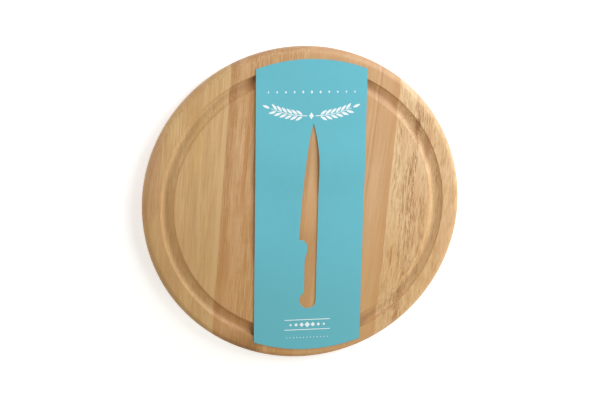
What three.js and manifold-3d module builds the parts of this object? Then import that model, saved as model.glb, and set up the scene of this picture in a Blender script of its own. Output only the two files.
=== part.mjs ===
// Round bread board: staves glued edge to edge, turned to a disc with a rounded rim and a juice
// groove, and a die-cut card label stuck to the working face.
// Millimetres, +Z up. The board lies flat: its underside is z = 0 and its centre is on the Z axis.
// The grain and the glue lines run along Y.
import * as THREE from "three";
import { mergeVertices } from "three/addons/utils/BufferGeometryUtils.js";
import Module from "manifold-3d";

// Disc
const BOARD_DIAMETER = 300;
const BOARD_THICKNESS = 18;
const EDGE_RADIUS = 6; // round-over of the rim, above and below
const RIM_LAND_WIDTH = 10.3; // flat ring between the round-over and the groove
const GROOVE_WIDTH = 12.4;
const GROOVE_DEPTH = 4;

// Glued panel
const STAVE_COUNT = 4;
const STAVE_WIDTH = 78.3;
const GLUE_THICKNESS = 0.2;
const PANEL_OFFSET = 1.2; // how far the panel's middle lies from the disc's centre, along X

// Card label
const CARD_WIDTH = 102.8;
const CARD_THICKNESS = 0.5;
const CARD_END_MARGIN = 9.9; // rim to the middle of each rounded end
const CARD_OFFSET = 5; // how far the card's centre lies from the disc's centre, along X
const CARD_TURN = 3.9; // degrees, anticlockwise from the grain
const CARD_BOW = 1.6; // how far the card rises between the middle dots and the upper ones

// Knife-shaped window, cut along the card's length with its point up
const WINDOW_TOP_MARGIN = 59.4; // card's upper end to the point of the blade
const WINDOW_BOTTOM_MARGIN = 41.7; // butt of the handle to the card's lower end
const WINDOW_SPINE_OFFSET = 7.6; // back of the blade, right of the card's middle line
const BLADE_DEPTH = 17;
const BLADE_SHARE = 0.62; // blade's part of the knife's length
const HANDLE_DEPTH = 11.4;

// Adhesive dots under the card, in two columns of three
const DOT_DIAMETER = 10;
const DOT_THICKNESS = 0.3;
const DOT_SIDE_INSET = 13; // card's long edge to the dot's centre
const DOT_GROOVE_INSET = 35; // groove to the outer rows
const DOT_ROWS = [-1, 0, 1];
const DOT_COLUMNS = [-1, 1];

// Facets
const RIM_FACETS = 120;
const SECTION_DIVISIONS = 4; // of each arc of the disc's section, doubled by three.js
const OUTLINE_DIVISIONS = 8; // of each curve of the card's outline
const BOW_DIVISIONS = 16;
const DOT_FACETS = 24;
const SLAB_OVERSIZE = 10; // how far a sawing slab reaches past the disc
const DIE_OVERSIZE = 5; // how far the uncut sheet and the die reach past the card
const WELD = 1e-4; // vertices closer than this are one

// Colours and finish
const WOOD_COLOURS = [0xc9a577, 0xc49c6d, 0xd3ab7f, 0xdeb98a];
const GLUE_COLOUR = 0xa9794a;
const CARD_COLOUR = 0x6bbacb;
const ADHESIVE_COLOUR = 0xe6e2d6;
const WOOD_ROUGHNESS = 0.55;
const GLUE_ROUGHNESS = 0.6;
const CARD_ROUGHNESS = 0.45;
const ADHESIVE_ROUGHNESS = 0.35;

const boardRadius = BOARD_DIAMETER / 2;
const edgeRadius = Math.min(EDGE_RADIUS, BOARD_THICKNESS / 2);
const grooveOuter = boardRadius - edgeRadius - RIM_LAND_WIDTH;
const grooveInner = grooveOuter - GROOVE_WIDTH;

const wasm = await Module();
wasm.setup();

// Closed geometry as a solid: vertices welded, triangles that shrank to a line dropped.
function toSolid(geometry) {
  const bare = geometry.clone();
  bare.deleteAttribute("normal");
  bare.deleteAttribute("uv");
  const welded = mergeVertices(bare, WELD);
  const corners = [...welded.index.array];
  const triVerts = [];
  for (let i = 0; i < corners.length; i += 3) {
    const [a, b, c] = corners.slice(i, i + 3);
    if (a !== b && b !== c && c !== a) triVerts.push(a, b, c);
  }
  return new wasm.Manifold(
    new wasm.Mesh({
      numProp: 3,
      vertProperties: welded.attributes.position.array,
      triVerts: new Uint32Array(triVerts),
    }),
  );
}

function toGeometry(solid) {
  const mesh = solid.getMesh();
  const geometry = new THREE.BufferGeometry();
  geometry.setAttribute("position", new THREE.BufferAttribute(mesh.vertProperties, 3));
  geometry.setIndex(new THREE.BufferAttribute(mesh.triVerts, 1));
  geometry.computeVertexNormals();
  return geometry;
}

function piece(name, geometry, colour, roughness) {
  const material = new THREE.MeshStandardMaterial({ color: colour, roughness, metalness: 0 });
  const mesh = new THREE.Mesh(geometry, material);
  mesh.name = name;
  return mesh;
}

// Half section of the disc, from the underside's centre round the rim to the working face's centre.
// The groove is a cove: one arc, sunk below the face and cut off at its two edges.
function discSection() {
  const coveRadius = (GROOVE_WIDTH ** 2 / 4 + GROOVE_DEPTH ** 2) / (2 * GROOVE_DEPTH);
  const coveHeight = BOARD_THICKNESS - GROOVE_DEPTH + coveRadius;
  const coveMiddle = (grooveInner + grooveOuter) / 2;
  const coveHalfAngle = Math.asin(GROOVE_WIDTH / 2 / coveRadius);
  const down = -Math.PI / 2;
  const section = new THREE.Path();
  section.moveTo(0, 0);
  section.lineTo(boardRadius - edgeRadius, 0);
  section.absarc(boardRadius - edgeRadius, edgeRadius, edgeRadius, down, 0, false);
  section.absarc(
    boardRadius - edgeRadius,
    BOARD_THICKNESS - edgeRadius,
    edgeRadius,
    0,
    Math.PI / 2,
    false,
  );
  section.absarc(
    coveMiddle,
    coveHeight,
    coveRadius,
    down + coveHalfAngle,
    down - coveHalfAngle,
    true,
  );
  section.lineTo(0, BOARD_THICKNESS);
  return section.getPoints(SECTION_DIVISIONS);
}

function makeDisc() {
  const turned = new THREE.LatheGeometry(discSection(), RIM_FACETS);
  turned.rotateX(Math.PI / 2);
  return toSolid(turned);
}

// Slab that saws the disc between two planes square to X.
function makeSlab(left, right) {
  const reach = BOARD_DIAMETER + 2 * SLAB_OVERSIZE;
  const slab = new THREE.BoxGeometry(right - left, reach, reach);
  slab.translate((left + right) / 2, 0, 0);
  return toSolid(slab);
}

// Puts the corners of a sawn face exactly on its plane, so that glued faces meet without a gap.
function squareFace(geometry, plane) {
  const corners = geometry.attributes.position;
  for (let i = 0; i < corners.count; i += 1) {
    if (Math.abs(corners.getX(i) - plane) < WELD) corners.setX(i, plane);
  }
}

function sawn(disc, left, right) {
  const geometry = toGeometry(disc.intersect(makeSlab(left, right)));
  squareFace(geometry, left);
  squareFace(geometry, right);
  return geometry;
}

function makePanel() {
  const panel = new THREE.Group();
  const disc = makeDisc();
  const pitch = STAVE_WIDTH + GLUE_THICKNESS;
  const seamMiddle = (seam) => PANEL_OFFSET + (seam - STAVE_COUNT / 2) * pitch;
  const outside = boardRadius + SLAB_OVERSIZE;
  for (let i = 0; i < STAVE_COUNT; i += 1) {
    const left = i === 0 ? -outside : seamMiddle(i) + GLUE_THICKNESS / 2;
    const last = i === STAVE_COUNT - 1;
    const right = last ? outside : seamMiddle(i + 1) - GLUE_THICKNESS / 2;
    const colour = WOOD_COLOURS[i % WOOD_COLOURS.length];
    panel.add(piece(`stave_${i + 1}`, sawn(disc, left, right), colour, WOOD_ROUGHNESS));
    if (last) continue;
    const film = sawn(disc, right, right + GLUE_THICKNESS);
    panel.add(piece(`glue_line_${i + 1}`, film, GLUE_COLOUR, GLUE_ROUGHNESS));
  }
  return panel;
}

const cardLength = BOARD_DIAMETER - 2 * CARD_END_MARGIN;
const rowSpacing = grooveInner - DOT_GROOVE_INSET;
const columnSpacing = CARD_WIDTH / 2 - DOT_SIDE_INSET;

// Long straight sides, and ends cut to the board's own radius.
function cardOutline() {
  const half = CARD_WIDTH / 2;
  const cornerAngle = Math.acos(half / boardRadius);
  const endCentre = cardLength / 2 - boardRadius;
  const outline = new THREE.Shape();
  outline.absarc(0, endCentre, boardRadius, cornerAngle, Math.PI - cornerAngle, false);
  outline.absarc(0, -endCentre, boardRadius, Math.PI + cornerAngle, -cornerAngle, false);
  outline.closePath();
  return outline;
}

// Outline of a slicing knife. Blade points are set out from the heel towards the point, and
// handle points from the heel towards the butt, both as depth below the spine.
function knifeWindow() {
  const length = cardLength - WINDOW_TOP_MARGIN - WINDOW_BOTTOM_MARGIN;
  const bladeLength = length * BLADE_SHARE;
  const handleLength = length - bladeLength;
  const heelY = cardLength / 2 - WINDOW_TOP_MARGIN - bladeLength;
  const blade = (depth, along) => [
    WINDOW_SPINE_OFFSET - depth * BLADE_DEPTH,
    heelY + along * bladeLength,
  ];
  const handle = (depth, along) => [
    WINDOW_SPINE_OFFSET - depth * HANDLE_DEPTH,
    heelY - along * handleLength,
  ];
  const window = new THREE.Path();
  window.moveTo(...blade(1, 0));
  // Cutting edge, then the spine from the point back to the handle
  window.bezierCurveTo(...blade(0.88, 0.36), ...blade(0.75, 0.77), ...blade(0.31, 1));
  window.bezierCurveTo(...blade(0.05, 0.87), ...blade(-0.08, 0.72), ...blade(-0.04, 0.54));
  window.lineTo(...handle(0, 0.88));
  // Rounded butt with a hook under the little finger
  window.bezierCurveTo(...handle(0, 0.96), ...handle(0.25, 1), ...handle(0.63, 1));
  window.bezierCurveTo(...handle(1.1, 1), ...handle(1.37, 0.95), ...handle(1.37, 0.87));
  window.bezierCurveTo(...handle(1.37, 0.8), ...handle(1, 0.8), ...handle(1, 0.73));
  // Belly of the grip and the notch behind the heel
  window.lineTo(...handle(1, 0.36));
  window.bezierCurveTo(...handle(1, 0.25), ...handle(0.78, 0.2), ...handle(0.78, 0.13));
  window.bezierCurveTo(...handle(0.78, 0.03), ...handle(1.1, 0), ...blade(1, 0));
  return window;
}

// Uncut sheet, extruded across the card from its side view: flat on the dots, with one low wave
// between the middle row and the upper row.
function cardSheet() {
  const waveStart = DOT_DIAMETER / 2;
  const waveLength = rowSpacing - DOT_DIAMETER;
  const underside = [];
  for (let step = 0; step <= BOW_DIVISIONS; step += 1) {
    const share = step / BOW_DIVISIONS;
    const rise = CARD_BOW * Math.sin(Math.PI * share) ** 2;
    underside.push(new THREE.Vector2(waveStart + share * waveLength, rise));
  }
  const reach = cardLength / 2 + DIE_OVERSIZE;
  underside.unshift(new THREE.Vector2(-reach, 0));
  underside.push(new THREE.Vector2(reach, 0));
  const face = underside.map((point) => new THREE.Vector2(point.x, point.y + CARD_THICKNESS));
  const sideView = new THREE.Shape([...underside, ...face.reverse()]);
  const width = CARD_WIDTH + 2 * DIE_OVERSIZE;
  const sheet = new THREE.ExtrudeGeometry(sideView, { depth: width, bevelEnabled: false });
  sheet.translate(0, 0, -width / 2);
  const along = new THREE.Vector3(0, 1, 0);
  const up = new THREE.Vector3(0, 0, 1);
  const across = new THREE.Vector3(1, 0, 0);
  sheet.applyMatrix4(new THREE.Matrix4().makeBasis(along, up, across));
  return toSolid(sheet);
}

// The die cuts the outline and the window straight down through the sheet.
function cuttingDie() {
  const outline = cardOutline();
  outline.holes.push(knifeWindow());
  const die = new THREE.ExtrudeGeometry(outline, {
    depth: CARD_BOW + CARD_THICKNESS + 2 * DIE_OVERSIZE,
    bevelEnabled: false,
    curveSegments: OUTLINE_DIVISIONS,
  });
  die.translate(0, 0, -DIE_OVERSIZE);
  return toSolid(die);
}

function makeCard() {
  const geometry = toGeometry(cardSheet().intersect(cuttingDie()));
  return piece("label_card", geometry, CARD_COLOUR, CARD_ROUGHNESS);
}

function makeDot(number, x, y) {
  const geometry = new THREE.CylinderGeometry(
    DOT_DIAMETER / 2,
    DOT_DIAMETER / 2,
    DOT_THICKNESS,
    DOT_FACETS,
  );
  geometry.rotateX(Math.PI / 2);
  const dot = piece(`glue_dot_${number}`, geometry, ADHESIVE_COLOUR, ADHESIVE_ROUGHNESS);
  dot.position.set(x, y, DOT_THICKNESS / 2);
  return dot;
}

function makeLabel() {
  const label = new THREE.Group();
  label.position.set(CARD_OFFSET, 0, BOARD_THICKNESS);
  label.rotation.z = THREE.MathUtils.degToRad(CARD_TURN);
  const card = makeCard();
  card.position.z = DOT_THICKNESS;
  label.add(card);
  let number = 0;
  for (const row of DOT_ROWS) {
    for (const column of DOT_COLUMNS) {
      number += 1;
      label.add(makeDot(number, column * columnSpacing, row * rowSpacing));
    }
  }
  return label;
}

const board = new THREE.Group();
board.add(makePanel(), makeLabel());

export default board;
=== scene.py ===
import math

import bmesh
import bpy
from mathutils import Matrix, Vector


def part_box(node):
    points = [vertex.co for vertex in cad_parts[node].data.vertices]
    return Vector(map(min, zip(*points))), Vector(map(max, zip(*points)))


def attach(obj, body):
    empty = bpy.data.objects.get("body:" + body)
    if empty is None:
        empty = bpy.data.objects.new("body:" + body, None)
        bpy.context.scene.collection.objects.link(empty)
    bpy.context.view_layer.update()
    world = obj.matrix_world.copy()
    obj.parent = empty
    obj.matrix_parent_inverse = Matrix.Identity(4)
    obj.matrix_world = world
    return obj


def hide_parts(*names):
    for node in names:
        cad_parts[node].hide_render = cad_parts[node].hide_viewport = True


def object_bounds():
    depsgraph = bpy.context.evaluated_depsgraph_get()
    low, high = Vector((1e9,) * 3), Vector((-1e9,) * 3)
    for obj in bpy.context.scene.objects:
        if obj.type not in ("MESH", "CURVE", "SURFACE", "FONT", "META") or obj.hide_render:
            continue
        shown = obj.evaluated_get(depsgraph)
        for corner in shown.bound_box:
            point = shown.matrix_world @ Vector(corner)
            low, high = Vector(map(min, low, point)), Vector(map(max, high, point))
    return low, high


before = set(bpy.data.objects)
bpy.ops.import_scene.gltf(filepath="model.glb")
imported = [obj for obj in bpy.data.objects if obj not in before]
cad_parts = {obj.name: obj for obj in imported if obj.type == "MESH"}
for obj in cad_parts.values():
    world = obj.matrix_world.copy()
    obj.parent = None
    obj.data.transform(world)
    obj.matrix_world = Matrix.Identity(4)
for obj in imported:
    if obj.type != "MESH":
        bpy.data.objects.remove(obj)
cad_low, cad_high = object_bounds()

# Sizes of the turned board, in metres

MM = 0.001
TOUCHING = 1e-7
BOARD_RADIUS = (cad_high.x - cad_low.x) / 2
BOARD_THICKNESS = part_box("stave_1")[1].z
EDGE_RADIUS = 6 * MM
GROOVE_WIDTH = 12.4 * MM
GROOVE_DEPTH = 4 * MM
RIM_LAND_WIDTH = 10.3 * MM
GROOVE_RADIUS = BOARD_RADIUS - EDGE_RADIUS - RIM_LAND_WIDTH - GROOVE_WIDTH / 2
COVE_RADIUS = ((GROOVE_WIDTH / 2) ** 2 + GROOVE_DEPTH**2) / (2 * GROOVE_DEPTH)
OUTER_ARRIS = 0.25 * MM
INNER_ARRIS = 1.2 * MM
TURN_STEPS = 360
ROUND_STEPS = 14
COVE_STEPS = 16
ARRIS_STEPS = 6
SEAMS = 3
STAVES = 4
BOARD_CREASE = 40
CARD_CREASE = 30
DOT_CREASE = 50

# Sizes of the card label, in metres, in the card's own frame: u across it, v along it

CARD_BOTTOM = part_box("label_card")[0].z
CARD_THICKNESS = 0.5 * MM
CARD_FACE = CARD_BOTTOM + CARD_THICKNESS
CARD_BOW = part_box("label_card")[1].z - CARD_FACE
CARD_WIDTH = 102.8 * MM
CARD_LENGTH = 2 * (BOARD_RADIUS - 9.9 * MM)
CARD_OFFSET = 5 * MM
CARD_TURN = math.radians(3.9)
WINDOW_TOP_MARGIN = 59.4 * MM
WINDOW_BOTTOM_MARGIN = 41.7 * MM
WINDOW_SPINE = 7.6 * MM
BLADE_DEPTH = 17 * MM
BLADE_SHARE = 0.62
HANDLE_DEPTH = 11.4 * MM
CARD_ARC_STEPS = 48
WINDOW_STEPS = 16
CURL_RISE = 1.0 * MM
CURL_WIDTH = 32 * MM
CURL_START = -58 * MM
CURL_END = 128 * MM
CURL_TAPER = 24 * MM
BOW_STEP = 3.4 * MM
CURL_STEPS = 8
INK_THICKNESS = 0.03 * MM
# Painted shade on the card's print: where its darkening towards the foot starts and where it is full
FOOT_SHADE_START = -30 * MM
FOOT_SHADE_FULL = -100 * MM
DOTS = 6
DOT_STEPS = 36
DOT_BULGE_STEPS = 8
DOT_LOBES = 3
DOT_UNEVENNESS = 0.02

# The photograph's view: the camera's place round the point it aims at

CAMERA_AIM = Vector((-4.63 * MM, 7.71 * MM, BOARD_THICKNESS))
CAMERA_DISTANCE = 1088.4 * MM
CAMERA_BEARING = math.radians(126.68)
CAMERA_ELEVATION = math.radians(72.52)
CAMERA_ROLL = math.radians(5.01)
CAMERA_LENS = 70.1
SENSOR_WIDTH = 36

# Studio light: each lamp's bearing, elevation, distance, width, height, power and tint

FILL_STRENGTH = 0.18
LAMPS = {
    "low strip": (48, 21, 1.0, 1.7, 0.36, 9.6, (0.93, 1, 1.14)),
    "near top": (40, 50, 0.9, 0.45, 0.45, 2.85, (1.03, 1, 0.98)),
    "lower right": (315, 25, 1.0, 0.5, 0.4, 3.3, (1.1, 1, 0.82)),
    "left": (172, 25, 1.0, 0.6, 0.4, 3.4, (1.08, 1, 0.88)),
}
FLOOR_SIZE = 8
FLOOR_DROP = 0.2 * MM
FLOOR_WHITE = 0.8
NEAR_GLOW = 0.5
FAR_GLOW = 0.9
GLOW_START = 0.3
GLOW_END = 1.5


# Geometry helpers


def arc(centre, radius, start, stop, steps):
    """Points along an arc, both ends included, with the angles in degrees."""
    points = []
    for step in range(steps + 1):
        angle = math.radians(start + (stop - start) * step / steps)
        x = centre[0] + radius * math.cos(angle)
        y = centre[1] + radius * math.sin(angle)
        points.append((x, y))
    return points


def bezier(start, lead, trail, end, steps):
    """Points along a cubic curve, without its first point."""
    points = []
    for step in range(1, steps + 1):
        t = step / steps
        s = 1 - t
        weights = (s**3, 3 * s * s * t, 3 * s * t * t, t**3)
        corners = (start, lead, trail, end)
        x = sum(w * c[0] for w, c in zip(weights, corners))
        y = sum(w * c[1] for w, c in zip(weights, corners))
        points.append((x, y))
    return points


def joined(*runs):
    """Runs of points as one run, leaving out a point that repeats the one before."""
    points = []
    for run in runs:
        for point in run:
            if not points or math.dist(point, points[-1]) > TOUCHING:
                points.append(point)
    return points


def skin(work, rings):
    """Faces round a closed run of equal sections, with a lid over their first and last points."""
    for ring, following in zip(rings, rings[1:] + rings[:1]):
        for k in range(len(ring) - 1):
            work.faces.new((ring[k], following[k], following[k + 1], ring[k + 1]))
    work.faces.new([ring[0] for ring in reversed(rings)])
    work.faces.new([ring[-1] for ring in rings])


def finished(work, name, materials, sharp_angle):
    """A shaded object from a bmesh, with its normals weighted by the faces' areas."""
    bmesh.ops.recalc_face_normals(work, faces=work.faces[:])
    mesh = bpy.data.meshes.new(name)
    work.to_mesh(mesh)
    work.free()
    for material in materials:
        mesh.materials.append(material)
    mesh.shade_smooth()
    mesh.set_sharp_from_angle(angle=math.radians(sharp_angle))
    piece = bpy.data.objects.new(name, mesh)
    bpy.context.scene.collection.objects.link(piece)
    weighting = piece.modifiers.new("even shading", "WEIGHTED_NORMAL")
    weighting.keep_sharp = True
    return piece


def dress(piece, slot, *nodes):
    """The piece rides on the board and stands for its CAD nodes, which are hidden. The slot is not used."""
    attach(piece, "root")
    if nodes:
        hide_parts(*nodes)


# Node helpers


def srgb(red, green, blue):
    """A colour given on a 0 to 255 scale, as the linear colour that a shader takes."""
    linear = []
    for value in (red, green, blue):
        share = value / 255
        linear.append(share / 12.92 if share <= 0.04045 else ((share + 0.055) / 1.055) ** 2.4)
    return (*linear, 1)


class Nodes:
    """Adds nodes to one tree. A value is a number, a colour, a vector or another node's output."""

    def __init__(self, tree):
        self.tree = tree

    def add(self, kind, values, **settings):
        node = self.tree.nodes.new(kind)
        for key, setting in settings.items():
            setattr(node, key, setting)
        for socket, value in values.items():
            self.put(node.inputs[socket], value)
        return node

    def put(self, socket, value):
        if isinstance(value, bpy.types.NodeSocket):
            self.tree.links.new(value, socket)
        else:
            socket.default_value = value

    def math(self, operation, *values):
        return self.add("ShaderNodeMath", dict(enumerate(values)), operation=operation).outputs[0]

    def vector(self, operation, *values):
        node = self.add("ShaderNodeVectorMath", dict(enumerate(values)), operation=operation)
        return node.outputs[0]

    def length(self, vector):
        return self.add("ShaderNodeVectorMath", {0: vector}, operation="LENGTH").outputs["Value"]

    def position(self):
        return self.add("ShaderNodeTexCoord", {}).outputs["Object"]

    def split(self, vector):
        return self.add("ShaderNodeSeparateXYZ", {0: vector}).outputs

    def join(self, x, y, z):
        return self.add("ShaderNodeCombineXYZ", {0: x, 1: y, 2: z}).outputs[0]

    def noise(self, vector, scale, detail=2, roughness=0.5):
        values = {"Vector": vector, "Scale": scale, "Detail": detail, "Roughness": roughness}
        return self.add("ShaderNodeTexNoise", values).outputs[0]

    def fade(self, value, low, high, start=0, stop=1):
        values = {0: value, 1: low, 2: high, 3: start, 4: stop}
        return self.add("ShaderNodeMapRange", values, interpolation_type="SMOOTHSTEP").outputs[0]

    def spread(self, value, low, high, start=0, stop=1):
        return self.add("ShaderNodeMapRange", {0: value, 1: low, 2: high, 3: start, 4: stop}).outputs[0]

    def mix(self, share, first, second, blend="MIX"):
        values = {0: share, 6: first, 7: second}
        node = self.add("ShaderNodeMix", values, data_type="RGBA", blend_type=blend)
        return node.outputs[2]

    def place(self, group, values):
        return self.add("ShaderNodeGroup", values, node_tree=group)


def new_group(name, inputs, outputs):
    """A shader node group with its named sockets: its nodes, its inputs and its output node."""
    tree = bpy.data.node_groups.new(name, "ShaderNodeTree")
    for socket_name, kind, default in inputs:
        socket = tree.interface.new_socket(name=socket_name, in_out="INPUT", socket_type=kind)
        if default is not None:
            socket.default_value = default
    for socket_name, kind in outputs:
        tree.interface.new_socket(name=socket_name, in_out="OUTPUT", socket_type=kind)
    nodes = Nodes(tree)
    given = tree.nodes.new("NodeGroupInput").outputs
    result = tree.nodes.new("NodeGroupOutput")
    return nodes, given, result


def new_material(name):
    """A material with a Principled shader: its nodes and the shader."""
    material = bpy.data.materials.new(name)
    material.use_nodes = True
    nodes = Nodes(material.node_tree)
    return material, nodes, material.node_tree.nodes["Principled BSDF"]


def bumped(nodes, height, distance, strength=1.0):
    """A normal from a height, with the depth in metres."""
    values = {"Height": height, "Distance": distance, "Strength": strength}
    return nodes.add("ShaderNodeBump", values).outputs[0]


FLOAT = "NodeSocketFloat"
VECTOR = "NodeSocketVector"
COLOR = "NodeSocketColor"

# Wood: how the grain flows, the figure of rings, fibres and flecks, single streaks, and painted shade in
# the groove


def grain_flow_group():
    """Straightens the grain: millimetres across, along and through the stave."""
    nodes, given, result = new_group(
        "Grain Flow",
        [
            ("Position", VECTOR, None),
            ("Slant", FLOAT, 0),
            ("Bow", FLOAT, 0),
            ("Sway", FLOAT, 1),
            ("Seed", FLOAT, 0),
        ],
        [("Grain", VECTOR)],
    )
    x, y, z = nodes.split(nodes.vector("MULTIPLY", given["Position"], (1 / MM, 1 / MM, 1 / MM)))
    bow = nodes.math("MULTIPLY", nodes.math("MULTIPLY", y, y), given["Bow"])
    lean = nodes.math("ADD", nodes.math("MULTIPLY", y, given["Slant"]), bow)
    slow = nodes.join(nodes.math("MULTIPLY", x, 0.35), y, nodes.math("ADD", z, given["Seed"]))
    wander = nodes.math("SUBTRACT", nodes.noise(slow, 0.011, 2, 0.4), 0.5)
    shift = nodes.math("ADD", lean, nodes.math("MULTIPLY", wander, given["Sway"]))
    across = nodes.math("SUBTRACT", x, shift)
    nodes.put(result.inputs["Grain"], nodes.join(across, y, z))
    return nodes.tree


def wood_figure_group():
    """Growth rings, streaks, fibres and flecks of an oiled hardwood, from straightened grain."""
    nodes, given, result = new_group(
        "Wood Figure",
        [
            ("Grain", VECTOR, None),
            ("Light", COLOR, None),
            ("Dark", COLOR, None),
            ("Blush", COLOR, None),
            ("Pale", COLOR, None),
            ("Fleck", COLOR, None),
            ("Ring Width", FLOAT, 6),
            ("Ring Contrast", FLOAT, 0.5),
            ("Pith Across", FLOAT, 0),
            ("Pith Depth", FLOAT, -60),
            ("Streak Width", FLOAT, 2.6),
            ("Streak Length", FLOAT, 140),
            ("Streak Contrast", FLOAT, 0.5),
            ("Fibre Contrast", FLOAT, 0.4),
            ("Ripple Contrast", FLOAT, 0.1),
            ("Blush Share", FLOAT, 0.5),
            ("Pale Share", FLOAT, 0.3),
            ("Fleck Width", FLOAT, 1),
            ("Fleck Length", FLOAT, 8),
            ("Fleck Share", FLOAT, 0.4),
            ("Fleck Depth", FLOAT, 0.5),
            ("Seed", FLOAT, 0),
        ],
        [("Color", COLOR), ("Roughness", FLOAT), ("Height", FLOAT)],
    )
    across, along, depth = nodes.split(given["Grain"])
    seed = given["Seed"]
    seeds = nodes.join(seed, seed, seed)

    def grain_noise(pitch_across, pitch_along, detail, roughness):
        pitch = nodes.join(pitch_across, pitch_along, pitch_across)
        place = nodes.vector("ADD", nodes.vector("DIVIDE", given["Grain"], pitch), seeds)
        return nodes.noise(place, 1, detail, roughness)

    # Rings round a pith that lies outside the stave, fading in and out along the grain
    aside = nodes.math("SUBTRACT", across, given["Pith Across"])
    below = nodes.math("SUBTRACT", depth, given["Pith Depth"])
    radius = nodes.math("DIVIDE", nodes.length(nodes.join(aside, below, 0)), given["Ring Width"])
    ring_place = nodes.join(radius, nodes.math("MULTIPLY", along, 0.004), seed)
    ring = nodes.fade(nodes.noise(ring_place, 1, 2, 0.5), 0.3, 0.7)

    # Long streaks, fine fibres, a ripple across the grain and slow drifts of hue
    streak = nodes.spread(grain_noise(given["Streak Width"], given["Streak Length"], 3, 0.6), 0.25, 0.75)
    fibre = nodes.spread(grain_noise(0.9, 22, 3, 0.65), 0.25, 0.75)
    ripple = nodes.spread(grain_noise(24, 5, 2, 0.5), 0.25, 0.75)
    blush = nodes.fade(grain_noise(22, 85, 2, 0.5), 0.35, 0.7)
    pale = nodes.fade(grain_noise(9, 70, 2, 0.5), 0.45, 0.7)

    # Flecks, long on a side face and dots on end grain, crowded in some places
    spots = grain_noise(given["Fleck Width"], given["Fleck Length"], 2, 0.5)
    crowd = nodes.fade(grain_noise(8, 50, 2, 0.5), 0.35, 0.65, 0.4, 1.2)
    wanted = nodes.math("MULTIPLY", given["Fleck Share"], crowd)
    level = nodes.math("SUBTRACT", 0.72, nodes.math("MULTIPLY", wanted, 0.27))
    fleck = nodes.fade(spots, level, nodes.math("ADD", level, 0.11))

    def swing(value, contrast):
        return nodes.math("MULTIPLY", nodes.math("SUBTRACT", value, 0.5), contrast)

    shade = nodes.math("ADD", swing(ring, given["Ring Contrast"]), swing(streak, given["Streak Contrast"]))
    shade = nodes.math("ADD", shade, swing(fibre, given["Fibre Contrast"]))
    shade = nodes.math("ADD", shade, swing(ripple, given["Ripple Contrast"]))
    shade = nodes.math("ADD", shade, 0.5)
    base = nodes.mix(shade, given["Light"], given["Dark"])
    base = nodes.mix(nodes.math("MULTIPLY", blush, given["Blush Share"]), base, given["Blush"])
    base = nodes.mix(nodes.math("MULTIPLY", pale, given["Pale Share"]), base, given["Pale"])
    color = nodes.mix(nodes.math("MULTIPLY", fleck, given["Fleck Depth"]), base, given["Fleck"])

    # End grain takes more oil and turns darker
    normal = nodes.split(nodes.tree.nodes.new("ShaderNodeNewGeometry").outputs["Normal"])
    end_grain = nodes.fade(nodes.math("ABSOLUTE", normal[1]), 0.3, 1, 0, 0.3)
    color = nodes.mix(end_grain, color, given["Dark"], "MULTIPLY")

    roughness = nodes.spread(fibre, 0, 1, 0.46, 0.58)
    roughness = nodes.math("ADD", roughness, nodes.math("MULTIPLY", fleck, 0.15))
    height = nodes.math("MULTIPLY", fibre, 0.5)
    height = nodes.math("SUBTRACT", height, nodes.math("MULTIPLY", fleck, 0.6))
    nodes.put(result.inputs["Color"], color)
    nodes.put(result.inputs["Roughness"], roughness)
    nodes.put(result.inputs["Height"], height)
    return nodes.tree


def grain_streak_group():
    """One streak that follows the grain, ragged at its sides and tapered at its ends."""
    nodes, given, result = new_group(
        "Grain Streak",
        [
            ("Grain", VECTOR, None),
            ("Place", FLOAT, 0),
            ("Slant", FLOAT, 0),
            ("Width", FLOAT, 2),
            ("Softness", FLOAT, 1),
            ("Breaks", FLOAT, 0.3),
            ("Break Length", FLOAT, 22),
            ("Start", FLOAT, -200),
            ("End", FLOAT, 200),
            ("Taper", FLOAT, 25),
        ],
        [("Mask", FLOAT)],
    )
    across, along, depth = nodes.split(given["Grain"])
    middle = nodes.math("ADD", given["Place"], nodes.math("MULTIPLY", along, given["Slant"]))
    side_place = nodes.join(given["Place"], nodes.math("MULTIPLY", along, 0.05), 0.0)
    ragged = nodes.math("SUBTRACT", nodes.noise(side_place, 1, 3, 0.6), 0.5)
    away = nodes.math("ABSOLUTE", nodes.math("SUBTRACT", across, middle))
    away = nodes.math("ADD", away, nodes.math("MULTIPLY", ragged, given["Softness"]))
    half = nodes.math("MULTIPLY", given["Width"], 0.5)
    blur = nodes.math("MULTIPLY", given["Softness"], 0.5)
    body = nodes.fade(away, nodes.math("SUBTRACT", half, blur), nodes.math("ADD", half, blur), 1, 0)
    lengthwise = nodes.math("DIVIDE", along, given["Break Length"])
    fine_place = nodes.join(nodes.math("MULTIPLY", across, 0.9), lengthwise, given["Place"])
    gaps = nodes.fade(nodes.noise(fine_place, 1, 3, 0.6), 0.45, 0.58, 1, 0)
    kept = nodes.math("SUBTRACT", 1, nodes.math("MULTIPLY", gaps, given["Breaks"]))
    begin = nodes.fade(along, given["Start"], nodes.math("ADD", given["Start"], given["Taper"]))
    finish = nodes.fade(along, nodes.math("SUBTRACT", given["End"], given["Taper"]), given["End"], 1, 0)
    reach = nodes.math("MULTIPLY", begin, finish)
    mask = nodes.math("MULTIPLY", nodes.math("MULTIPLY", body, kept), reach)
    nodes.put(result.inputs["Mask"], mask)
    return nodes.tree


def groove_group():
    """How deep in the groove a place is, for the painted shade there."""
    nodes, given, result = new_group("Groove", [("Position", VECTOR, None)], [("Mask", FLOAT)])
    x, y, z = nodes.split(given["Position"])
    radius = nodes.length(nodes.join(x, y, 0))
    away = nodes.math("ABSOLUTE", nodes.math("SUBTRACT", radius, GROOVE_RADIUS))
    inside = nodes.fade(away, GROOVE_WIDTH / 8, GROOVE_WIDTH / 2, 1, 0)
    upper = nodes.math("GREATER_THAN", z, BOARD_THICKNESS / 2)
    nodes.put(result.inputs["Mask"], nodes.math("MULTIPLY", inside, upper))
    return nodes.tree


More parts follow.
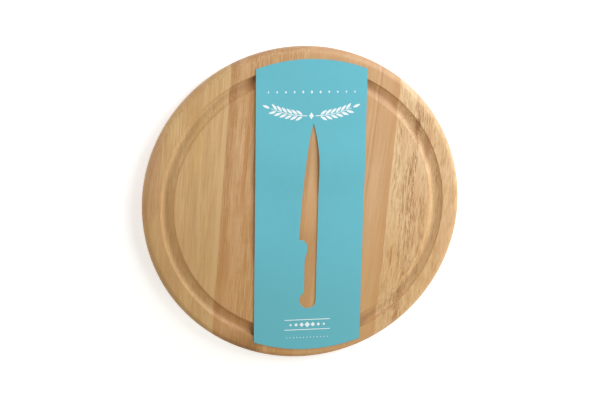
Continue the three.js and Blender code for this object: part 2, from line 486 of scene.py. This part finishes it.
GRAIN_FLOW = grain_flow_group()
WOOD_FIGURE = wood_figure_group()
GRAIN_STREAK = grain_streak_group()
GROOVE = groove_group()
# Painted shade: the tint that darkens the groove's wood where the groove lies in shade
GROOVE_SHADE_TINT = srgb(222, 208, 198)
PORE_DEPTH = 0.05 * MM
SATIN = 0.35


def wood_material(name, flow, figure, streaks, groove_shade):
    """Oiled wood: a flow of grain, a figure on it, coloured streaks over that, and painted shade darkening
    the groove.
    """
    material, nodes, shader = new_material(name)
    position = nodes.position()
    grain = nodes.place(GRAIN_FLOW, {"Position": position, **flow}).outputs["Grain"]
    wood = nodes.place(WOOD_FIGURE, {"Grain": grain, **figure})
    color = wood.outputs["Color"]
    for strength, tint, streak in streaks:
        mask = nodes.place(GRAIN_STREAK, {"Grain": grain, **streak}).outputs["Mask"]
        color = nodes.mix(nodes.math("MULTIPLY", mask, strength), color, tint)
    # Painted shade in the groove, strongest on the staves whose groove lies in shadow
    if groove_shade:
        groove = nodes.place(GROOVE, {"Position": position}).outputs["Mask"]
        color = nodes.mix(nodes.math("MULTIPLY", groove, groove_shade), color, GROOVE_SHADE_TINT, "MULTIPLY")
    nodes.put(shader.inputs["Base Color"], color)
    nodes.put(shader.inputs["Roughness"], wood.outputs["Roughness"])
    nodes.put(shader.inputs["Normal"], bumped(nodes, wood.outputs["Height"], PORE_DEPTH))
    shader.inputs["Specular IOR Level"].default_value = SATIN
    return material


# Painted shade: every stave turns darker and more golden towards its lower end, where the light falls off

SHADED_LOWER_END = {"Start": -400, "End": 60, "Taper": 140}


def tan_wood():
    """First stave: light tan, straight fine streaks, a pale strip along its glued edge."""
    flow = {"Slant": 0.004, "Sway": 5, "Seed": 1.7}
    figure = {
        "Light": srgb(215, 180, 130),
        "Dark": srgb(182, 143, 91),
        "Blush": srgb(196, 155, 107),
        "Pale": srgb(212, 181, 124),
        "Fleck": srgb(160, 118, 74),
        "Ring Width": 8,
        "Ring Contrast": 0.35,
        "Pith Across": -210,
        "Pith Depth": -40,
        "Streak Width": 1.1,
        "Streak Length": 40,
        "Streak Contrast": 1.25,
        "Fibre Contrast": 0.6,
        "Ripple Contrast": 0.1,
        "Blush Share": 0.35,
        "Pale Share": 0.35,
        "Fleck Share": 0.3,
        "Fleck Depth": 0.4,
        "Seed": 1.7,
    }
    streaks = [
        (0.65, srgb(214, 180, 132), {"Place": -79.5, "Width": 4.5, "Softness": 2, "Breaks": 0.2}),
        # Painted shade: the next two darker, mauve streaks lie along the left-hand land and rim, which face
        # away from the main lamps
        (0.55, srgb(178, 134, 102), {"Place": -144, "Width": 18, "Softness": 14, "Start": -30, "End": 110}),
        (0.4, srgb(176, 130, 84), {"Place": -144, "Width": 18, "Softness": 14, "Start": -110, "End": 20}),
        (0.4, srgb(206, 168, 104), {"Place": -103, "Width": 9, "Softness": 6, "Start": 15, "End": 100}),
        (0.35, srgb(172, 138, 96), {"Place": -101, "Width": 5, "Softness": 3, "Start": -70, "End": 45}),
        (0.4, srgb(184, 136, 92), {"Place": -110, "Width": 16, "Softness": 10, "Start": 60, "End": 130}),
        (0.35, srgb(164, 122, 80), {"Place": -122, "Width": 20, "Softness": 12, "Start": -120, "End": -40}),
        # Painted shade towards the stave's lower end
        (0.35, srgb(176, 136, 82), {"Place": -110, "Width": 90, "Breaks": 0, **SHADED_LOWER_END}),
    ]
    return wood_material("tan wood", flow, figure, streaks, 0.12)


def russet_wood():
    """Second stave: redder tan, darker along the seam and paler under the knife window."""
    flow = {"Slant": 0.006, "Sway": 4, "Seed": 4.3}
    figure = {
        "Light": srgb(213, 175, 129),
        "Dark": srgb(178, 134, 84),
        "Blush": srgb(194, 147, 98),
        "Pale": srgb(207, 171, 124),
        "Fleck": srgb(160, 104, 60),
        "Ring Width": 7,
        "Ring Contrast": 0.35,
        "Pith Across": 130,
        "Pith Depth": -90,
        "Streak Width": 1.2,
        "Streak Length": 24,
        "Streak Contrast": 1.5,
        "Fibre Contrast": 0.6,
        "Ripple Contrast": 0.2,
        "Blush Share": 0.5,
        "Pale Share": 0.25,
        "Fleck Share": 0.45,
        "Fleck Depth": 0.5,
        "Fleck Width": 1,
        "Fleck Length": 6,
        "Seed": 4.3,
    }
    streaks = [
        (0.5, srgb(170, 122, 74), {"Place": -74.5, "Width": 6, "Softness": 3, "Breaks": 0.3}),
        (0.35, srgb(184, 132, 82), {"Place": -60, "Width": 5, "Softness": 5, "Breaks": 0.4, "Start": -20}),
        (0.5, srgb(206, 168, 124), {"Place": -67, "Width": 5, "Softness": 3, "Breaks": 0.4}),
        (0.5, srgb(176, 120, 68), {"Place": -58.5, "Width": 3.5, "Softness": 2, "Start": -15, "End": 130}),
        (0.45, srgb(164, 114, 66), {"Place": -70, "Width": 8, "Softness": 5, "Start": -90, "End": -25}),
        (0.4, srgb(208, 170, 128), {"Place": -61, "Width": 6, "Softness": 4, "Start": -80, "End": 10}),
        (0.7, srgb(198, 154, 106), {"Place": -3, "Width": 14, "Softness": 8, "Breaks": 0.2}),
        # Painted shade towards the stave's lower end
        (0.4, srgb(174, 124, 64), {"Place": -40, "Width": 90, "Breaks": 0, **SHADED_LOWER_END}),
        # Painted shade on the land and rim at this stave's lower end, which face away from the lamps
        (0.9, srgb(136, 94, 48), {"Place": -56, "Width": 50, "Softness": 12, "Start": -180, "End": -116}),
        (0.5, srgb(166, 124, 76), {"Place": -3, "Width": 14, "Softness": 6, "Start": -130, "End": -10}),
    ]
    return wood_material("russet wood", flow, figure, streaks, 0.4)


def pink_wood():
    """Third stave: smooth pinkish tan with slanted lines and an orange strip along its glued edge."""
    slant = 0.03
    flow = {"Slant": slant, "Sway": 2, "Seed": 7.9}
    figure = {
        "Light": srgb(209, 169, 125),
        "Dark": srgb(188, 146, 99),
        "Blush": srgb(199, 154, 110),
        "Pale": srgb(211, 172, 127),
        "Fleck": srgb(172, 124, 80),
        "Ring Width": 10,
        "Ring Contrast": 0.4,
        "Pith Across": -90,
        "Pith Depth": -120,
        "Streak Width": 1.6,
        "Streak Length": 45,
        "Streak Contrast": 1,
        "Fibre Contrast": 0.35,
        "Ripple Contrast": 0.1,
        "Blush Share": 0.5,
        "Pale Share": 0.3,
        "Fleck Share": 0.15,
        "Fleck Depth": 0.35,
        "Seed": 7.9,
    }
    line = {"Breaks": 0.4}
    streaks = [
        (0.5, srgb(168, 120, 74), {**line, "Place": 57.4, "Width": 1.3, "Softness": 0.9}),
        (0.3, srgb(170, 122, 76), {**line, "Place": 53.6, "Width": 1.6, "Softness": 1.2, "Start": 40}),
        (0.3, srgb(224, 184, 140), {"Place": 55.5, "Width": 2.5, "Softness": 2, "Breaks": 0.2}),
        (0.45, srgb(192, 138, 82), {"Place": 77, "Slant": -slant, "Width": 4, "Softness": 3.5}),
        (0.3, srgb(216, 182, 142), {"Place": 63, "Width": 14, "Softness": 10, "Start": -60, "End": 60}),
        # Painted shade towards the stave's lower end
        (0.4, srgb(186, 142, 82), {"Place": 40, "Width": 90, "Breaks": 0, **SHADED_LOWER_END}),
        (0.5, srgb(166, 124, 76), {"Place": 8, "Width": 16, "Softness": 6, "Start": -130, "End": -10}),
    ]
    return wood_material("pink wood", flow, figure, streaks, 0.3)


def straw_wood():
    """Fourth stave: pale straw, crowded with brown flecks, and one dark vein."""
    flow = {"Bow": -0.0004, "Sway": 6, "Seed": 2.6}
    figure = {
        "Light": srgb(228, 199, 155),
        "Dark": srgb(180, 135, 84),
        "Blush": srgb(205, 161, 117),
        "Pale": srgb(220, 192, 146),
        "Fleck": srgb(146, 98, 52),
        "Ring Width": 8,
        "Ring Contrast": 0.4,
        "Pith Across": 100,
        "Pith Depth": -45,
        "Streak Width": 1.5,
        "Streak Length": 11,
        "Streak Contrast": 1.4,
        "Fibre Contrast": 0.5,
        "Ripple Contrast": 0.15,
        "Blush Share": 0.45,
        "Pale Share": 0.4,
        "Fleck Width": 0.8,
        "Fleck Length": 13,
        "Fleck Share": 0.62,
        "Fleck Depth": 0.7,
        "Seed": 2.6,
    }
    spot = {"Place": 103, "Width": 6, "Softness": 4, "Breaks": 0.5, "Break Length": 6, "Taper": 8}
    row = {"Softness": 1.2, "Breaks": 1, "Break Length": 9, "Taper": 20}
    patch = {"Softness": 5, "Taper": 12}
    vein = {"Softness": 1.2, "Taper": 9}
    streaks = [
        (0.85, srgb(140, 90, 52), {**row, "Place": 103, "Width": 2.6, "Break Length": 7}),
        (0.7, srgb(146, 98, 58), {**row, "Place": 99.5, "Width": 2.6, "Start": -80, "End": 75}),
        (0.5, srgb(150, 102, 62), {**row, "Place": 95, "Width": 3, "Start": -65, "End": 60}),
        (0.6, srgb(166, 108, 76), {**row, "Place": 104, "Width": 7, "Start": 86, "End": 116, "Taper": 6}),
        (0.75, srgb(146, 94, 60), {**row, "Place": 103, "Width": 9, "Start": -122, "End": -86, "Taper": 6}),
        (0.6, srgb(140, 90, 56), {**spot, "Width": 4, "Start": 74, "End": 95}),
        (0.5, srgb(150, 100, 60), {**spot, "Start": -92, "End": -70}),
        (0.6, srgb(172, 116, 82), {**patch, "Place": 113.5, "Width": 7, "Start": 44, "End": 84}),
        (0.35, srgb(242, 214, 166), {"Place": 95, "Width": 24, "Softness": 10, "Start": 88, "End": 170}),
        (0.35, srgb(214, 164, 128), {"Place": 140, "Width": 5, "Softness": 5, "Start": -75, "End": 25}),
        # Painted sheen: the next two paler strips whiten the right-hand land and rim, where the low lamps
        # glance off
        (0.22, srgb(230, 204, 168), {"Place": 140, "Width": 12, "Softness": 8, "Breaks": 0.4}),
        (0.35, srgb(216, 178, 130), {"Place": 133, "Width": 36, "Softness": 8, "Breaks": 0.4}),
        (0.5, srgb(214, 174, 134), {"Place": 108, "Width": 5, "Softness": 3, "Start": -30, "End": 70}),
        (0.4, srgb(208, 152, 94), {"Place": 88, "Width": 7, "Softness": 6, "Start": -80, "End": 0}),
        (0.8, srgb(142, 86, 40), {**vein, "Place": 88, "Width": 1.8, "Start": -58, "End": -30}),
        (0.6, srgb(150, 102, 62), {**row, "Place": 107, "Width": 4, "Start": -85, "End": 30}),
        (0.6, srgb(150, 102, 62), {**row, "Place": 115, "Width": 5, "Start": -75, "End": 25}),
        (0.5, srgb(228, 194, 148), {"Place": 81.4, "Width": 2.5, "Softness": 1.5, "Breaks": 0.3}),
        # Painted shade towards the stave's lower end
        (0.35, srgb(194, 150, 92), {"Place": 115, "Width": 90, "Breaks": 0, **SHADED_LOWER_END}),
    ]
    return wood_material("straw wood", flow, figure, streaks, 0)


def glue_material():
    """Cured glue in the joints, amber brown and clouded."""
    material, nodes, shader = new_material("cured glue")
    position = nodes.position()
    cloud = nodes.noise(position, 90, 3, 0.6)
    nodes.put(shader.inputs["Base Color"], nodes.mix(cloud, srgb(186, 138, 90), srgb(156, 110, 66)))
    nodes.put(shader.inputs["Roughness"], nodes.spread(cloud, 0.2, 0.8, 0.4, 0.55))
    return material


# Card, ink and adhesive


def print_material():
    """Blue-green print on board with painted shade darkening it towards the foot, a faint mottle and a soft
    sheen.
    """
    material, nodes, shader = new_material("printed card")
    position = nodes.position()
    mottle = nodes.noise(position, 140, 3, 0.6)
    tooth = nodes.noise(position, 2600, 2, 0.6)
    ink = nodes.mix(nodes.fade(mottle, 0.3, 0.7), srgb(101, 184, 198), srgb(100, 182, 196))
    # Painted shade: the print darkens towards the card's foot, where the light falls off
    foot_shade = nodes.fade(nodes.split(position)[1], FOOT_SHADE_FULL, FOOT_SHADE_START, 1, 0)
    nodes.put(shader.inputs["Base Color"], nodes.mix(foot_shade, ink, srgb(98, 178, 190)))
    nodes.put(shader.inputs["Roughness"], nodes.spread(mottle, 0.2, 0.8, 0.42, 0.5))
    nodes.put(shader.inputs["Normal"], bumped(nodes, tooth, 0.01 * MM, 0.5))
    shader.inputs["Specular IOR Level"].default_value = SATIN
    return material


def core_material():
    """The card's bare edges and back: grey-white pulp with flecks of fibre."""
    material, nodes, shader = new_material("card core")
    position = nodes.position()
    fleck = nodes.noise(position, 1800, 4, 0.7)
    nodes.put(shader.inputs["Base Color"], nodes.mix(fleck, srgb(224, 222, 214), srgb(196, 192, 182)))
    nodes.put(shader.inputs["Roughness"], nodes.spread(fleck, 0.2, 0.8, 0.75, 0.9))
    nodes.put(shader.inputs["Normal"], bumped(nodes, fleck, 0.02 * MM))
    return material


def ink_material():
    """White ink, a little uneven where the print shows through."""
    material, nodes, shader = new_material("white ink")
    position = nodes.position()
    cover = nodes.noise(position, 700, 3, 0.6)
    nodes.put(shader.inputs["Base Color"], nodes.mix(cover, srgb(244, 248, 249), srgb(226, 239, 242)))
    nodes.put(shader.inputs["Roughness"], nodes.spread(cover, 0.2, 0.8, 0.4, 0.5))
    return material


def adhesive_material():
    """Soft clear-white adhesive with trapped air."""
    material, nodes, shader = new_material("soft adhesive")
    position = nodes.position()
    air = nodes.noise(position, 900, 3, 0.6)
    nodes.put(shader.inputs["Base Color"], nodes.mix(air, srgb(232, 228, 216), srgb(208, 202, 186)))
    nodes.put(shader.inputs["Roughness"], nodes.spread(air, 0.2, 0.8, 0.25, 0.45))
    nodes.put(shader.inputs["Normal"], bumped(nodes, air, 0.03 * MM))
    return material


# The turned board


def arris_seat(radius):
    """Where a rounded arris meets the face, from the groove's middle, and the lean of the cove below it."""
    drop = COVE_RADIUS - GROOVE_DEPTH + radius
    half = math.sqrt((COVE_RADIUS + radius) ** 2 - drop**2)
    return half, math.degrees(math.atan2(half, drop))


def board_section():
    """Half section of the board, from the underside out over the rim and in over the groove."""
    rim = BOARD_RADIUS - EDGE_RADIUS
    outer, outer_lean = arris_seat(OUTER_ARRIS)
    inner, inner_lean = arris_seat(INNER_ARRIS)
    outer_centre = (GROOVE_RADIUS + outer, BOARD_THICKNESS - OUTER_ARRIS)
    inner_centre = (GROOVE_RADIUS - inner, BOARD_THICKNESS - INNER_ARRIS)
    cove_centre = (GROOVE_RADIUS, BOARD_THICKNESS - GROOVE_DEPTH + COVE_RADIUS)
    return joined(
        arc((rim, EDGE_RADIUS), EDGE_RADIUS, -90, 0, ROUND_STEPS),
        arc((rim, BOARD_THICKNESS - EDGE_RADIUS), EDGE_RADIUS, 0, 90, ROUND_STEPS),
        arc(outer_centre, OUTER_ARRIS, 90, 90 + outer_lean, ARRIS_STEPS),
        arc(cove_centre, COVE_RADIUS, outer_lean - 90, -90 - inner_lean, COVE_STEPS),
        arc(inner_centre, INNER_ARRIS, 90 - inner_lean, 90, ARRIS_STEPS),
    )


def turned_board():
    """The whole board before it is cut into staves, as a bmesh turned from its section."""
    work = bmesh.new()
    section = board_section()
    rings = []
    for step in range(TURN_STEPS):
        angle = 2 * math.pi * (step + 0.5) / TURN_STEPS
        ring = [work.verts.new((r * math.cos(angle), r * math.sin(angle), z)) for r, z in section]
        rings.append(ring)
    skin(work, rings)
    return work


def sawn(board, left, right):
    """The part of the board between two planes across X, closed at its sawn faces."""
    part = board.copy()
    for place, outward in ((left, -1), (right, 1)):
        geometry = part.verts[:] + part.edges[:] + part.faces[:]
        cut = bmesh.ops.bisect_plane(
            part,
            geom=geometry,
            dist=TOUCHING,
            plane_co=(place, 0, 0),
            plane_no=(outward, 0, 0),
            clear_outer=True,
        )
        rim = [item for item in cut["geom_cut"] if isinstance(item, bmesh.types.BMEdge)]
        if rim:
            bmesh.ops.edgeloop_fill(part, edges=rim)
    return part


def make_board():
    """The four staves and the three films of glue between them."""
    board = turned_board()
    films = [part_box(f"glue_line_{k + 1}") for k in range(SEAMS)]
    lefts = [-2 * BOARD_RADIUS] + [high.x for low, high in films]
    rights = [low.x for low, high in films] + [2 * BOARD_RADIUS]
    woods = [
        (tan_wood(), "wood_tan"),
        (russet_wood(), "wood_russet"),
        (pink_wood(), "wood_pink"),
        (straw_wood(), "wood_straw"),
    ]
    for k in range(STAVES):
        material, slot = woods[k]
        stave = finished(sawn(board, lefts[k], rights[k]), f"stave_{k + 1}_wood", [material], BOARD_CREASE)
        dress(stave, slot, f"stave_{k + 1}")
    glue = glue_material()
    for k, (low, high) in enumerate(films):
        film = finished(sawn(board, low.x, high.x), f"glue_line_{k + 1}_film", [glue], BOARD_CREASE)
        dress(film, "glue", f"glue_line_{k + 1}")
    board.free()


# The card label

CARD_TO_BOARD = Matrix.Translation((CARD_OFFSET, 0, 0)) @ Matrix.Rotation(CARD_TURN, 4, "Z")


def middle(node):
    """The middle of a CAD node's box."""
    low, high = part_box(node)
    return (low + high) / 2


ROW_SPACING = (middle("glue_dot_5") - middle("glue_dot_3")).length
DOT_RADIUS = (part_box("glue_dot_1")[1].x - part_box("glue_dot_1")[0].x) / 2


def smooth(value, low, high):
    """A soft step from nought at the low value to one at the high one."""
    share = min(max((value - low) / (high - low), 0), 1)
    return share * share * (3 - 2 * share)


def card_rise(u, v):
    """How far the card stands off its flat: a low wave above the middle dots, and a curled left edge."""
    share = (v - DOT_RADIUS) / (ROW_SPACING - 2 * DOT_RADIUS)
    wave = math.sin(math.pi * share) ** 2 if 0 < share < 1 else 0
    bend = min(max((CURL_WIDTH - CARD_WIDTH / 2 - u) / CURL_WIDTH, 0), 1) ** 2
    held = smooth(v, CURL_START, CURL_START + CURL_TAPER) * smooth(v, CURL_END, CURL_END - CURL_TAPER)
    return CARD_BOW * wave + CURL_RISE * bend * held * (1 - wave)


def card_outline():
    """Straight sides, and ends cut to the board's own radius."""
    corner = math.degrees(math.acos(CARD_WIDTH / 2 / BOARD_RADIUS))
    end = CARD_LENGTH / 2 - BOARD_RADIUS
    return joined(
        arc((0, end), BOARD_RADIUS, corner, 180 - corner, CARD_ARC_STEPS),
        arc((0, -end), BOARD_RADIUS, 180 + corner, 360 - corner, CARD_ARC_STEPS),
    )


def knife_window():
    """The die-cut opening in the shape of a plain kitchen knife, point up."""
    length = CARD_LENGTH - WINDOW_TOP_MARGIN - WINDOW_BOTTOM_MARGIN
    blade_length = length * BLADE_SHARE
    handle_length = length - blade_length
    heel = CARD_LENGTH / 2 - WINDOW_TOP_MARGIN - blade_length

    def blade(deep, far):
        return (WINDOW_SPINE - deep * BLADE_DEPTH, heel + far * blade_length)

    def handle(deep, far):
        return (WINDOW_SPINE - deep * HANDLE_DEPTH, heel - far * handle_length)

    return joined(
        bezier(blade(1, 0), blade(0.88, 0.36), blade(0.75, 0.77), blade(0.31, 1), WINDOW_STEPS),
        bezier(blade(0.31, 1), blade(0.05, 0.87), blade(-0.08, 0.72), blade(-0.04, 0.54), WINDOW_STEPS),
        [handle(0, 0.88)],
        bezier(handle(0, 0.88), handle(0, 0.96), handle(0.25, 1), handle(0.63, 1), WINDOW_STEPS),
        bezier(handle(0.63, 1), handle(1.1, 1), handle(1.37, 0.95), handle(1.37, 0.87), WINDOW_STEPS),
        bezier(handle(1.37, 0.87), handle(1.37, 0.8), handle(1, 0.8), handle(1, 0.73), WINDOW_STEPS),
        [handle(1, 0.36)],
        bezier(handle(1, 0.36), handle(1, 0.25), handle(0.78, 0.2), handle(0.78, 0.13), WINDOW_STEPS),
        bezier(handle(0.78, 0.13), handle(0.78, 0.03), handle(1.1, 0), blade(1, 0), WINDOW_STEPS),
    )


def plate(outlines, bottom, thickness):
    """A flat plate as a bmesh in the card's frame, from outlines and any openings in them."""
    work = bmesh.new()
    edges = []
    for outline in outlines:
        ring = [work.verts.new((*point, bottom)) for point in outline]
        edges += [work.edges.new(pair) for pair in zip(ring, ring[1:] + ring[:1])]
    bmesh.ops.triangle_fill(work, use_beauty=True, edges=edges)
    raised = bmesh.ops.extrude_face_region(work, geom=work.faces[:], use_keep_orig=True)
    moved = [item for item in raised["geom"] if isinstance(item, bmesh.types.BMVert)]
    bmesh.ops.translate(work, verts=moved, vec=(0, 0, thickness))
    bmesh.ops.recalc_face_normals(work, faces=work.faces[:])
    return work


def crease(work, place, across):
    """Divides a mesh along a plane, so that it can bend there."""
    geometry = work.verts[:] + work.edges[:] + work.faces[:]
    bmesh.ops.bisect_plane(work, geom=geometry, dist=TOUCHING, plane_co=place, plane_no=across)


def make_card():
    """The card with its knife-shaped window: printed face, bare edges and back."""
    work = plate([card_outline(), knife_window()], CARD_BOTTOM, CARD_THICKNESS)
    for step in range(CURL_STEPS):
        u = -CARD_WIDTH / 2 + CURL_WIDTH * (step + 1) / CURL_STEPS
        crease(work, (u, 0, 0), (1, 0, 0))
    for step in range(round((CURL_END - CURL_START) / BOW_STEP) + 1):
        crease(work, (0, CURL_START + BOW_STEP * step, 0), (0, 1, 0))
    for face in work.faces:
        face.material_index = 0 if face.normal.z > 0.5 else 1
    for vertex in work.verts:
        vertex.co.z += card_rise(vertex.co.x, vertex.co.y)
    bmesh.ops.transform(work, matrix=CARD_TO_BOARD, verts=work.verts[:])
    card = finished(work, "label_card_print", [print_material(), core_material()], CARD_CREASE)
    dress(card, "card", "label_card")


# White ornament on the card: a pair of wheat ears, rules and lozenges

EAR_START = (4 * MM, 88 * MM)
EAR_REACH = (36 * MM, 8 * MM)
EAR_PAIRS = 6
GRAIN_LENGTH = 7.4 * MM
GRAIN_WIDTH = 2.3 * MM
GRAIN_LEAN = math.radians(33)
GRAIN_CLEARANCE = 0.7 * MM
GRAIN_STEPS = 12
GRAIN_FULLNESS = 0.8
STALK_WIDTH = 0.8 * MM
STALK_STEPS = 20
STALK_SHARE = 0.93
FIRST_PAIR = 0.12
PAIRS_SHARE = 0.8
TIP_GRAIN = 0.96
SPRIG_SIZE = (4.4 * MM, 6.6 * MM)
RULE_LENGTH = 44 * MM
RULE_WIDTH = 0.7 * MM
RULE_HEIGHTS = (-110 * MM, -120 * MM)

# Rows of lozenges: height on the card, count to each side, spacing, width, loss per step, slimness

HEAD_ROW = (110 * MM, 5, 8 * MM, 2.2 * MM, 0.14 * MM, 1.5)
RULED_ROW = (sum(RULE_HEIGHTS) / 2, 3, 5.4 * MM, 5.2 * MM, 0.9 * MM, 1.1)
FOOT_ROW = (-128 * MM, 6, 3.3 * MM, 1.1 * MM, 0, 1)


def seed_shape(base, heading, length, width):
    """A pointed oval that grows from its base along a heading."""
    outline = []
    for side in (1, -1):
        for step in range(GRAIN_STEPS):
            t = step / GRAIN_STEPS if side > 0 else 1 - step / GRAIN_STEPS
            along = length * t
            aside = side * width / 2 * math.sin(math.pi * t) ** GRAIN_FULLNESS if 0 < t < 1 else 0
            x = base[0] + along * math.cos(heading) - aside * math.sin(heading)
            y = base[1] + along * math.sin(heading) + aside * math.cos(heading)
            outline.append((x, y))
    return outline


def lozenge(centre, width, height):
    """A diamond on its point."""
    x, y = centre
    return [(x + width / 2, y), (x, y + height / 2), (x - width / 2, y), (x, y - height / 2)]


def lozenge_row(height, side_count, spacing, width, loss, slimness):
    """A level row of lozenges, the widest in the middle."""
    row = []
    for k in range(-side_count, side_count + 1):
        size = width - loss * abs(k)
        row.append(lozenge((k * spacing, height), size, slimness * size))
    return row


def rule(height):
    """A thin level line across the card's middle."""
    half, thin = RULE_LENGTH / 2, RULE_WIDTH / 2
    return [(half, height - thin), (half, height + thin), (-half, height + thin), (-half, height - thin)]


def stalk_point(side, t):
    """A point of the ear's curved stalk, from the middle of the card outwards."""
    return (side * (EAR_START[0] + EAR_REACH[0] * t), EAR_START[1] + EAR_REACH[1] * t * t)


def stalk_heading(side, t):
    """The stalk's direction at a point."""
    return math.atan2(2 * EAR_REACH[1] * t, side * EAR_REACH[0])


def wheat_ear(side):
    """One ear: a tapered stalk, grains in pairs and a last grain at the tip."""
    near = []
    far = []
    for step in range(STALK_STEPS + 1):
        t = STALK_SHARE * step / STALK_STEPS
        x, y = stalk_point(side, t)
        heading = stalk_heading(side, t)
        half = STALK_WIDTH / 2 * (1 - 0.5 * t)
        near.append((x - half * math.sin(heading), y + half * math.cos(heading)))
        far.append((x + half * math.sin(heading), y - half * math.cos(heading)))
    outlines = [near + far[::-1]]
    for pair in range(EAR_PAIRS):
        t = FIRST_PAIR + PAIRS_SHARE * pair / EAR_PAIRS
        x, y = stalk_point(side, t)
        heading = stalk_heading(side, t)
        for turn in (1, -1):
            base_x = x - turn * GRAIN_CLEARANCE * math.sin(heading)
            base_y = y + turn * GRAIN_CLEARANCE * math.cos(heading)
            lean = heading + turn * GRAIN_LEAN
            outlines.append(seed_shape((base_x, base_y), lean, GRAIN_LENGTH, GRAIN_WIDTH))
    tip = stalk_point(side, TIP_GRAIN)
    outlines.append(seed_shape(tip, stalk_heading(side, 1), GRAIN_LENGTH, GRAIN_WIDTH))
    return outlines


def ink_piece(name, outlines, material):
    """Flat printed shapes that lie on the card's face."""
    work = bmesh.new()
    for outline in outlines:
        shape = plate([outline], CARD_FACE, INK_THICKNESS)
        mesh = bpy.data.meshes.new("shape")
        shape.to_mesh(mesh)
        shape.free()
        work.from_mesh(mesh)
        bpy.data.meshes.remove(mesh)
    for vertex in work.verts:
        vertex.co.z += card_rise(vertex.co.x, vertex.co.y)
    bmesh.ops.transform(work, matrix=CARD_TO_BOARD, verts=work.verts[:])
    dress(finished(work, name, [material], CARD_CREASE), "card")


def make_ornament():
    """Beads and wheat ears above the window, and rules with lozenges below it."""
    material = ink_material()
    sprig = lozenge((0, EAR_START[1]), *SPRIG_SIZE)
    ink_piece("ornament_wheat", [sprig] + wheat_ear(1) + wheat_ear(-1), material)
    ink_piece("ornament_beads", lozenge_row(*HEAD_ROW), material)
    rules = [rule(height) for height in RULE_HEIGHTS]
    ink_piece("ornament_rules", rules + lozenge_row(*RULED_ROW) + lozenge_row(*FOOT_ROW), material)


def make_dots():
    """Pads of soft adhesive, squeezed to a bulging edge under the card."""
    material = adhesive_material()
    for k in range(DOTS):
        low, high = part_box(f"glue_dot_{k + 1}")
        centre = middle(f"glue_dot_{k + 1}")
        bulge = (high.z - low.z) / 2
        section = arc((DOT_RADIUS - bulge, 0), bulge, -90, 90, DOT_BULGE_STEPS)
        work = bmesh.new()
        rings = []
        for step in range(DOT_STEPS):
            turn = 2 * math.pi * step / DOT_STEPS
            lobe = 1 - DOT_UNEVENNESS * (1 + math.sin(DOT_LOBES * turn + k))
            spot = Vector((math.cos(turn) * lobe, math.sin(turn) * lobe, 0))
            rings.append([work.verts.new(centre + spot * r + Vector((0, 0, z))) for r, z in section])
        skin(work, rings)
        dot = finished(work, f"glue_dot_{k + 1}_pad", [material], DOT_CREASE)
        dress(dot, "adhesive", f"glue_dot_{k + 1}")


# Studio


def direction(bearing, elevation):
    """The unit vector towards a bearing from +X and an elevation over the board."""
    level = math.cos(elevation)
    return Vector((level * math.cos(bearing), level * math.sin(bearing), math.sin(elevation)))


def set_camera():
    """The photograph's viewing angle."""
    back = direction(CAMERA_BEARING, CAMERA_ELEVATION)
    along = Vector((0, 1, 0))
    up = (along - back * along.dot(back)).normalized()
    axes = Matrix((up.cross(back), up, back)).transposed()
    turned = axes @ Matrix.Rotation(CAMERA_ROLL, 3, "Z")
    lens = bpy.data.cameras.new("camera")
    lens.lens = CAMERA_LENS
    lens.sensor_fit = "HORIZONTAL"
    lens.sensor_width = SENSOR_WIDTH
    camera = bpy.data.objects.new("camera", lens)
    camera.matrix_world = Matrix.Translation(CAMERA_AIM + back * CAMERA_DISTANCE) @ turned.to_4x4()
    bpy.context.scene.collection.objects.link(camera)
    bpy.context.scene.camera = camera


def seen_share(nodes):
    """One for rays that show the background itself: camera, glossy and transmission rays."""
    path = nodes.tree.nodes.new("ShaderNodeLightPath").outputs
    shiny = nodes.math("MAXIMUM", path["Is Glossy Ray"], path["Is Transmission Ray"])
    return nodes.math("MAXIMUM", path["Is Camera Ray"], shiny)


def set_light():
    """An even white fill from all round and the soft lamps."""
    world = bpy.data.worlds.new("studio")
    bpy.context.scene.world = world
    world.use_nodes = True
    nodes = Nodes(world.node_tree)
    backdrop = world.node_tree.nodes["Background"]
    backdrop.inputs["Color"].default_value = (1, 1, 1, 1)
    nodes.put(backdrop.inputs["Strength"], nodes.spread(seen_share(nodes), 0, 1, FILL_STRENGTH, 1))
    for name, values in LAMPS.items():
        add_lamp(name, *values)


def add_lamp(name, bearing, elevation, distance, width, height, power, tint):
    """A soft oval lamp that faces the middle of the board."""
    lamp = bpy.data.lights.new(name, "AREA")
    lamp.shape = "ELLIPSE"
    lamp.size = width
    lamp.size_y = height
    lamp.energy = power
    lamp.color = tint
    stand = bpy.data.objects.new(name, lamp)
    toward = direction(math.radians(bearing), math.radians(elevation))
    stand.location = Vector((0, 0, BOARD_THICKNESS)) + toward * distance
    stand.rotation_euler = toward.to_track_quat("Z", "Y").to_euler()
    bpy.context.scene.collection.objects.link(stand)


def set_floor():
    """A plain white floor that keeps the board's soft shadow, and stays white far from the lamps."""
    work = bmesh.new()
    bmesh.ops.create_grid(work, x_segments=1, y_segments=1, size=FLOOR_SIZE / 2)
    mesh = bpy.data.meshes.new("floor")
    work.to_mesh(mesh)
    work.free()
    material, nodes, shader = new_material("white floor")
    shader.inputs["Base Color"].default_value = (FLOOR_WHITE, FLOOR_WHITE, FLOOR_WHITE, 1)
    shader.inputs["Roughness"].default_value = 1
    shader.inputs["Specular IOR Level"].default_value = 0
    shader.inputs["Emission Color"].default_value = (1, 1, 1, 1)
    position = nodes.position()
    glow = nodes.fade(nodes.length(position), GLOW_START, GLOW_END, NEAR_GLOW, FAR_GLOW)
    nodes.put(shader.inputs["Emission Strength"], nodes.math("MULTIPLY", seen_share(nodes), glow))
    mesh.materials.append(material)
    floor = bpy.data.objects.new("floor", mesh)
    floor.location.z = -FLOOR_DROP
    bpy.context.scene.collection.objects.link(floor)


make_board()
make_card()
make_ornament()
make_dots()
set_camera()
set_light()
set_floor()
bpy.context.scene.view_settings.view_transform = "Standard"

bpy.context.view_layer.update()
